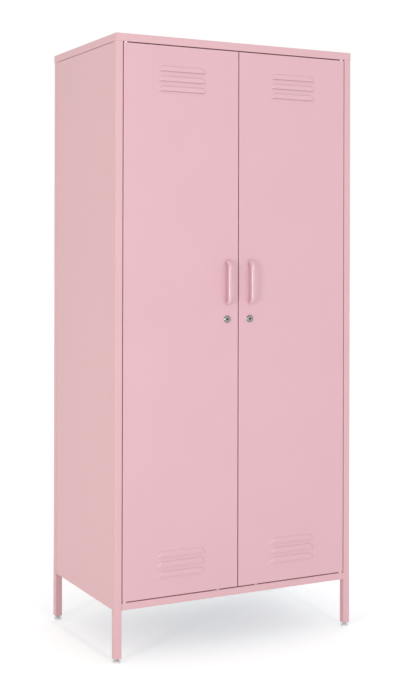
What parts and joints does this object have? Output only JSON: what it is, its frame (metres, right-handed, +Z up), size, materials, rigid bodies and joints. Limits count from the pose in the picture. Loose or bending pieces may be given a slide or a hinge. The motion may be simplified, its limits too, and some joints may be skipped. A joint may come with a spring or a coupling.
{
  "type": "locker cabinet",
  "caption": "Tall steel locker cabinet on square legs with a pair of hinged doors, pressed louvres, bow handles, cam locks, shelves and a hanging rail.",
  "frame": {"origin": "on the floor, in the middle of the cabinet's outline from the handles to the rear edge of the top", "axes": "+Z up, doors and handles face -Y, +X to the right of a person facing the doors"},
  "size_m": [0.8, 0.525, 1.8],
  "materials": {
    "frame_paint": "satin powder coat",
    "door_paint": "satin powder coat",
    "inner_paint": "satin powder coat",
    "handle_paint": "gloss paint",
    "lock_chrome": "nickel plated",
    "rail_chrome": "polished",
    "zinc_steel": "zinc plated",
    "moulded_plastic": "moulded",
    "nylon": "natural nylon",
    "pad_plastic": "translucent pale grey"
  },
  "bodies": {
    "cabinet": {"back_panel": "inner_paint", "bottom_panel": "frame_paint", "centre_divider": "inner_paint", "centre_strike_strip": "inner_paint", "door_glides": "nylon", "front_left_post": "frame_paint", "front_right_post": "frame_paint", "hanging_rail": "rail_chrome", "hat_shelf": "inner_paint", "hat_shelf_clips": "zinc_steel", "left_hinge_pins": "zinc_steel", "left_shelf_1": "inner_paint", "left_shelf_2": "inner_paint", "left_shelf_3": "inner_paint", "left_shelf_4": "inner_paint", "left_shelf_clips": "zinc_steel", "left_shelf_strips": "inner_paint", "left_side_panel": "frame_paint", "leg_inserts": "moulded_plastic", "magnetic_catches": "moulded_plastic", "rail_sockets": "moulded_plastic", "rear_left_post": "frame_paint", "rear_right_post": "frame_paint", "right_hinge_pins": "zinc_steel", "right_shelf_strips": "inner_paint", "right_side_panel": "frame_paint", "top_panel": "frame_paint"},
    "left_door": {"left_door_panel": "door_paint", "left_door_stiffener": "inner_paint", "left_handle": "handle_paint", "left_hinge_bushes": "nylon", "left_lock_body": "lock_chrome", "left_lock_nut": "zinc_steel"},
    "left_lock": {"left_lock_plug": "lock_chrome", "left_lock_cam": "zinc_steel"},
    "right_door": {"right_door_panel": "door_paint", "right_door_stiffener": "inner_paint", "right_handle": "handle_paint", "right_hinge_bushes": "nylon", "right_lock_body": "lock_chrome", "right_lock_nut": "zinc_steel"},
    "right_lock": {"right_lock_plug": "lock_chrome", "right_lock_cam": "zinc_steel"},
    "front_left_foot": {"front_left_foot_pad": "pad_plastic", "front_left_foot_stud": "zinc_steel"},
    "front_right_foot": {"front_right_foot_pad": "pad_plastic", "front_right_foot_stud": "zinc_steel"},
    "rear_left_foot": {"rear_left_foot_pad": "pad_plastic", "rear_left_foot_stud": "zinc_steel"},
    "rear_right_foot": {"rear_right_foot_pad": "pad_plastic", "rear_right_foot_stud": "zinc_steel"}
  },
  "joints": [
    {"name": "left_door_swing", "type": "hinge", "parent": "cabinet", "child": "left_door", "pos_m": [-0.368, -0.2315, 0.97375], "axis": [0, 0, -1], "range_deg": [0, 110]},
    {"name": "left_lock_turn", "type": "hinge", "parent": "left_door", "child": "left_lock", "pos_m": [-0.0385, -0.2375, 0.974], "axis": [0, -1, 0], "range_deg": [0, 90]},
    {"name": "right_door_swing", "type": "hinge", "parent": "cabinet", "child": "right_door", "pos_m": [0.368, -0.2315, 0.97375], "axis": [0, 0, 1], "range_deg": [0, 110]},
    {"name": "right_lock_turn", "type": "hinge", "parent": "right_door", "child": "right_lock", "pos_m": [0.0385, -0.2375, 0.974], "axis": [0, 1, 0], "range_deg": [0, 90]},
    {"name": "front_left_foot_travel", "type": "slide", "parent": "cabinet", "child": "front_left_foot", "axis": [0, 0, -1], "range_m": [-0.0035, 0.01]},
    {"name": "front_right_foot_travel", "type": "slide", "parent": "cabinet", "child": "front_right_foot", "axis": [0, 0, -1], "range_m": [-0.0035, 0.01]},
    {"name": "rear_left_foot_travel", "type": "slide", "parent": "cabinet", "child": "rear_left_foot", "axis": [0, 0, -1], "range_m": [-0.0035, 0.01]},
    {"name": "rear_right_foot_travel", "type": "slide", "parent": "cabinet", "child": "rear_right_foot", "axis": [0, 0, -1], "range_m": [-0.0035, 0.01]}
  ]
}
